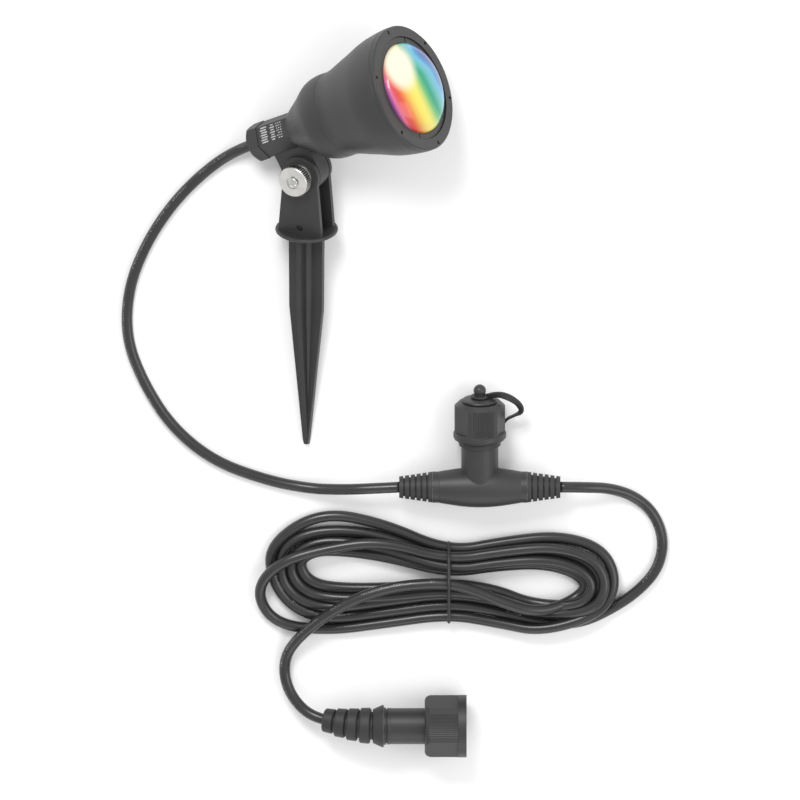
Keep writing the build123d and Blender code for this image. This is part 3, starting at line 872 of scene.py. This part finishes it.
# ------------------------------------------------------------------ studio
@dataclass
class Studio:
    """The plain floor, the soft lights and the camera."""

    centre: Point = (32.9, -114.9, 3.4)
    lean: float = 17.4
    frame_width: float = 0.496
    distance: float = 1.6
    floor_half: float = 3.0
    sky: float = 0.78
    # Each softbox's place in metres, its power and its size in metres
    softboxes: dict[str, tuple[Point, float, float]] = field(default_factory=lambda: {
        "key": ((-0.3, 1.05, 1.2), 17.0, 0.55),
        "fill": ((1.1, -0.1, 1.1), 7.0, 0.9),
        "rim": ((0.1, -1.3, 0.7), 3.0, 0.8),
    })

    def set_camera(self) -> None:
        """Place the camera, leaning from straight down towards the lamp's head."""
        lean = math.radians(self.lean)
        data = bpy.data.cameras.new("camera")
        data.type = "ORTHO"
        data.ortho_scale = self.frame_width
        data.clip_end = 20.0
        camera = bpy.data.objects.new("camera", data)
        bpy.context.collection.objects.link(camera)
        up = Vector((0, math.cos(lean), -math.sin(lean)))
        back = Vector((0, math.sin(lean), math.cos(lean)))
        turn = Matrix((Vector((1, 0, 0)), up, back)).transposed().to_4x4()
        camera.matrix_world = Matrix.Translation(Vector(self.centre) * MM + back * self.distance) @ turn
        bpy.context.scene.camera = camera

    def _softbox(self, name: str, place: Point, power: float, size: float) -> None:
        """Add one square softbox that faces the lamp."""
        data = bpy.data.lights.new(name, "AREA")
        data.energy = power
        data.size = size
        light = bpy.data.objects.new(name, data)
        bpy.context.collection.objects.link(light)
        light.location = place
        aim = Vector(place) - Vector(self.centre) * MM
        light.rotation_euler = aim.to_track_quat("Z", "Y").to_euler()

    def set_lights(self) -> None:
        """Light the floor evenly, with softboxes around the lamp."""
        world = bpy.data.worlds.new("studio")
        world.use_nodes = True
        back = world.node_tree.nodes["Background"]
        back.inputs["Color"].default_value = (1.0, 1.0, 1.0, 1.0)
        back.inputs["Strength"].default_value = self.sky
        bpy.context.scene.world = world
        for name, (place, power, size) in self.softboxes.items():
            self._softbox(name, place, power, size)
        scene = bpy.context.scene
        scene.view_settings.view_transform = "Standard"
        scene.view_settings.look = "None"

    def lay_floor(self) -> None:
        """Lay the pale floor."""
        half = self.floor_half
        mesh = bpy.data.meshes.new("floor")
        corners = [(-half, -half, 0), (half, -half, 0), (half, half, 0), (-half, half, 0)]
        mesh.from_pydata(corners, [], [(0, 1, 2, 3)])
        floor = new_piece("floor", mesh)
        paint = Paint("pale_floor")
        pale = paint.mix(paint.noise(6.0, 2.0), grey(0.9), grey(0.92))
        mesh.materials.append(paint.finish(Base_Color=pale, Roughness=0.9, Specular_IOR_Level=0.1))


# ------------------------------------------------------------------ cords
@dataclass
class LampLead:
    """The short lead from the lamp's gland to the tee."""

    diameter: float = 6.8
    length: float = 0.378
    route: list[Point] = field(default_factory=lambda: [
        (-57.04, 54.26, 11.43), (-70.1, 47.2, 4.2), (-89, 33, 3.45), (-108, 13, 3.45),
        (-124.5, -13, 3.45), (-135.5, -42, 3.45), (-137, -74, 3.45), (-126.5, -103, 3.45),
        (-109, -132, 3.45), (-83, -154.5, 3.45), (-50, -167, 3.45), (-24, -172, 4.6),
        (-4, -170.9, 10.6), (13, -168.8, 15.4), (33.4, -167.4, 16.45),
    ])
    bend_start: Point = (-100.0, 20.0, 3.45)
    tee: tuple[str, ...] = (
        "tee_body", "tee_boot_in", "tee_boot_out", "outlet_insert", "outlet_pins", "outlet_seal", "cap_nut",
        "cap_stopper",
    )

    def build(self, shop: Workshop, tether: list[bpy.types.Object]) -> bpy.types.Object:
        """Make the lead.

        Args:
            shop: The finishes.
            tether: The pieces of the dust cap's tether.

        Returns:
            The lead.
        """
        line = smooth_line(mm(self.route), 14)
        mesh = swept_mesh("lamp_lead", line, round_section(self.diameter / 2 * MM))
        lead = new_piece("lamp_lead", mesh)
        shop.dress(lead, Finish.JACKET)
        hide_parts("cord_lead")
        gland = tuple(mm(self.route)[0])
        tuple(Vector(self.bend_start) * MM)
        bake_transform(lead)
        [tuple(p) for p in line]
        [shop.nodes[name] for name in self.tee] + tether
        return lead


@dataclass
class CoiledCord:
    """The long cord from the tee, through its tied hank, to the plug."""

    diameter: float = 6.8
    length: float = 2.6
    floor: float = 3.45
    feed: list[Point] = field(default_factory=lambda: [
        (131.4, -167.4, 16.45), (149, -167.9, 15.2), (164, -170.7, 8.6), (179, -177.6, 3.45),
        (191, -189, 3.45), (196.7, -207, 3.45), (192.5, -225.5, 3.45), (180, -239.5, 3.45),
        (165, -250, 3.45), (146, -259.5, 3.45),
    ])
    # The stations of a turn round the right end: the outermost and the innermost strand there,
    # how high the odd turns ride on the even ones, and how high the outermost is lifted.
    right_end: dict[int, tuple[float, float, float, float, float, float]] = field(default_factory=lambda: {
        11: (99, -206.5, 93, -222.5, 5.5, 0.6),
        12: (132, -203.0, 121, -221.0, 5.4, 0.0),
        13: (159, -211.5, 141, -226.5, 5.4, 0.0),
        14: (167.5, -232, 149.5, -235.5, 5.2, 3.4),
        15: (158, -251.5, 140.0, -245.0, 5.2, 6.4),
    })
    # The stations where the turns cross: the place of each turn, from the first to the last
    crossings: dict[int, tuple[Point, ...]] = field(default_factory=lambda: {
        0: (
            (122, -261, 3.45), (121, -263.2, 10.6), (118, -254.6, 3.6),
            (116, -251, 9.4), (114, -247.4, 3.45),
        ),
        1: (
            (94, -251.5, 4.4), (94, -258.6, 6.6), (93.5, -244.7, 4.4),
            (93, -241.3, 10.3), (93, -237.9, 4.4),
        ),
        2: (
            (63.2, -246.5, 5.7), (63.2, -253.2, 5.7), (63.2, -239.8, 5.7),
            (63.2, -236.4, 11.4), (63.2, -233.1, 5.7),
        ),
        3: (
            (24, -252.4, 4.2), (24, -259.4, 4.2), (24, -245.5, 4.2), (24, -241.2, 9.6), (24, -237.0, 4.2),
        ),
        4: (
            (-13, -257.7, 3.45), (-12, -264.6, 3.45), (-13, -250.9, 3.45),
            (-11, -243.9, 4.0), (-10, -236.9, 3.45),
        ),
        5: (
            (-34, -249.5, 3.45), (-45, -260.5, 3.45), (-33.5, -242.7, 3.45),
            (-28.5, -238, 3.45), (-24.5, -232, 3.45),
        ),
        6: (
            (-46.5, -232, 3.45), (-57, -238, 7.5), (-42.5, -226.5, 3.45),
            (-36.5, -223, 3.45), (-30, -220.5, 3.45),
        ),
        7: (
            (-48, -208.5, 3.45), (-43, -217.5, 13), (-37.5, -206.5, 3.45),
            (-29, -211, 3.45), (-22.5, -214, 3.45),
        ),
        8: (
            (-17, -187.5, 3.45), (-13, -209, 10.8), (-13, -198.5, 3.45),
            (-11, -205.3, 3.45), (-9, -212.1, 3.45),
        ),
        9: (
            (22, -194.6, 4.0), (22, -204, 11.2), (22, -202, 4.0), (22.5, -209.5, 5.5), (23, -216, 4.0),
        ),
        10: (
            (63.2, -213, 5.7), (63.2, -216.4, 11.5), (63.2, -219.7, 5.7),
            (63.2, -223.1, 11.5), (63.2, -226.4, 5.7),
        ),
    })
    # How far in each turn lies at the right end, from 0 outermost to 1 innermost
    shares: tuple[float, ...] = (0.0, 0.3, 0.52, 0.76, 1.0)
    stations: int = 16
    leaving: list[Point] = field(default_factory=lambda: [
        (119, -249.5, 15.8), (97, -242.5, 17.4), (79, -233.5, 18.8),
    ])
    tail: list[Point] = field(default_factory=lambda: [
        (63, -229.4, 18.9), (46, -229.5, 19.1), (26, -232, 19), (6, -239, 18.7),
        (-12, -250.3, 15.6), (-28.4, -265.4, 9.9), (-37.6, -279, 4.9), (-39.2, -293, 4.6),
        (-34.4, -306.4, 7.4), (-22.8, -318.2, 10.8), (-12.2, -319.55, 14.25),
    ])
    plug: tuple[str, ...] = (
        "plug_boot", "plug_body", "plug_insert", "plug_contacts", "plug_seal", "coupling_nut", "hank_tie",
    )

    def _station(self, turn: int, index: int) -> Point:
        """Give the place of one turn of the hank at one station.

        Args:
            turn: Which turn, from the outermost.
            index: Which station.

        Returns:
            The point, in millimetres.
        """
        if index in self.crossings:
            return self.crossings[index][turn]
        x0, y0, x1, y1, ride, lift = self.right_end[index]
        share = self.shares[turn]
        height = self.floor + lift * (1 - 0.8 * share) + (ride if turn % 2 else 0.0)
        return (x0 + (x1 - x0) * share, y0 + (y1 - y0) * share, height)

    def build(self, shop: Workshop) -> bpy.types.Object:
        """Make the cord.

        Args:
            shop: The finishes.

        Returns:
            The cord.
        """
        route = list(self.feed)
        for turn in range(len(self.shares)):
            route += [self._station(turn, index) for index in range(self.stations)]
        route += self.leaving + self.tail
        line = smooth_line(mm(route), 10)
        mesh = swept_mesh("coiled_cord", line, round_section(self.diameter / 2 * MM))
        cord = new_piece("coiled_cord", mesh)
        shop.dress(cord, Finish.JACKET)
        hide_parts("cord_feed", "cord_hank", "cord_tail")
        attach(cord, "stand")
        tuple(mm(self.feed)[0])
        [tuple(p) for p in line]
        [shop.nodes[name] for name in self.plug]
        return cord


# ------------------------------------------------------------------ pieces
@dataclass
class CapTether:
    """The dust cap's strap, with the ring on the cap's ball and the ring on the branch."""

    width: float = 4.6
    thick: float = 1.3
    route: list[Point] = field(default_factory=lambda: [
        (4.6, -0.2, 59.0), (11, -1.5, 61.2), (18.8, -1.5, 58.6), (24.8, -0.5, 53.8), (25.8, 2, 48.6),
        (21.8, 5, 45.2), (16.4, 9, 41.4), (14, 11.2, 36), (14, 11.2, 30.4), (10.6, 8.2, 29.2),
    ])
    # The way the strap's width leans, at shares of its length
    twist: list[tuple[float, Point]] = field(default_factory=lambda: [
        (0.0, (0, 0.83, 0.55)), (0.24, (0.57, 0.82, 0.2)), (0.42, (0.75, 0.3, 0.5)), (0.58, (0.1, 0.1, 0.99)),
        (1.0, (0.1, 0.3, 0.9)),
    ])

    # Each ring's inner and outer radius, its lowest and highest place on the branch, and its body
    rings: dict[str, tuple[float, float, float, float, str]] = field(default_factory=lambda: {
        "tether_cap_ring": (3.3, 5.6, 58.2, 59.7, "dust_cap"),
        "tether_branch_ring": (11.55, 13.0, 27.6, 30.7, "stand"),
    })
    rounding: float = 0.5

    def _lean(self, share: float) -> Vector:
        """Give the way the strap's width leans at a share of its length."""
        for (start, first), (end, second) in zip(self.twist, self.twist[1:]):
            if share <= end:
                return Vector(first).lerp(Vector(second), (share - start) / (end - start))
        return Vector(self.twist[-1][1])

    def build(self, shop: Workshop) -> list[bpy.types.Object]:
        """Make the strap and its two rings.

        Args:
            shop: The finishes.

        Returns:
            The three pieces.
        """
        line = smooth_line([BRANCH.at(*p) for p in self.route], 12)
        strap = new_piece(
            "tether_strap",
            swept_mesh("tether_strap", line, strap_section(self.width * MM, self.thick * MM), self._lean),
        )
        shop.dress(strap, Finish.RUBBER)
        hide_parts("cap_tether")
        tuple(line[-1])
        tuple(line[0])
        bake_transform(strap)
        pieces = [strap]
        for name, (inner, outer, low, high, body) in self.rings.items():
            corners = [(inner, low), (outer, low), (outer, high), (inner, high)]
            profile = rounded_profile(corners, self.rounding)
            piece = new_piece(name, lathe_mesh(name, BRANCH, profile))
            shop.dress(piece, Finish.RUBBER)
            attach(piece, body)
            pieces.append(piece)
        return pieces


@dataclass
class NeckMarks:
    """Small pale dashes on the neck's hexagon, in place of its printing."""

    flat_turn: float = 60.0
    apothem: float = 10.22
    rows: int = 7
    first_row: float = -4.6
    row_step: float = 1.55
    # The middle dash of a row: its place behind the bezel's face, length on odd and even rows, height
    middle: tuple[float, float, float, float] = (103.0, 3.6, 2.4, 0.7)
    # The short dashes of a row: where they start and stop, their shortest and longest, gap, height
    short_span: tuple[float, float] = (96.0, 99.6)
    short_length: tuple[float, float] = (0.6, 1.4)
    short_gap: float = 0.7
    short_height: float = 0.55
    # The last dash of a row: its place, how much further it lies on odd rows, length, height
    last: tuple[float, float, float, float] = (109.4, 0.5, 4.6, 0.8)

    def build(self, shop: Workshop, head: Place) -> None:
        """Make the dashes.

        Args:
            shop: The finishes.
            head: The head's frame.
        """
        rng = random.Random(7)
        angle = math.radians(self.flat_turn)
        normal = (math.cos(angle), math.sin(angle))
        tangent = (-normal[1], normal[0])
        shape = bmesh.new()

        def dash(along: float, across: float, length: float, height: float) -> None:
            """Add one dash, centred at a place on the flat."""
            corners = []
            for da, dc in ((-1, -1), (1, -1), (1, 1), (-1, 1)):
                c = across + dc * height / 2
                x = normal[0] * self.apothem + tangent[0] * c
                y = normal[1] * self.apothem + tangent[1] * c
                corners.append(shape.verts.new(head.at(x, y, HEAD_FRONT - along - da * length / 2)))
            shape.faces.new(corners)

        for row in range(self.rows):
            across = self.first_row + row * self.row_step
            middle, odd_length, even_length, height = self.middle
            dash(middle, across, odd_length if row % 2 else even_length, height)
            along, stop = self.short_span
            while along < stop:
                length = rng.uniform(*self.short_length)
                dash(along + length / 2, across, length, self.short_height)
                along += length + self.short_gap
            last, shift, length, height = self.last
            dash(last + shift * (row % 2), across, length, height)
        mesh = bpy.data.meshes.new("neck_marks")
        bmesh.ops.recalc_face_normals(shape, faces=shape.faces)
        shape.to_mesh(mesh)
        shape.free()
        mesh.materials.append(shop.ink)
        piece = new_piece("neck_marks", mesh)
        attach(piece, "head")
        LOG.info("piece neck_marks: marking ink")


def main() -> None:
    """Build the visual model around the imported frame."""
    logging.basicConfig(level=logging.INFO, format="%(message)s")
    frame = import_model()
    pose = LampPose()
    studio = Studio()
    studio.set_camera()
    shop = Workshop(frame["nodes"], pose.head(), pose.yoke())
    tether = CapTether().build(shop)
    LampLead().build(shop, tether)
    CoiledCord().build(shop)
    NeckMarks().build(shop, pose.head())
    shop.dress_nodes()
    studio.set_lights()
    studio.lay_floor()


if __name__ == "__main__":
    main()
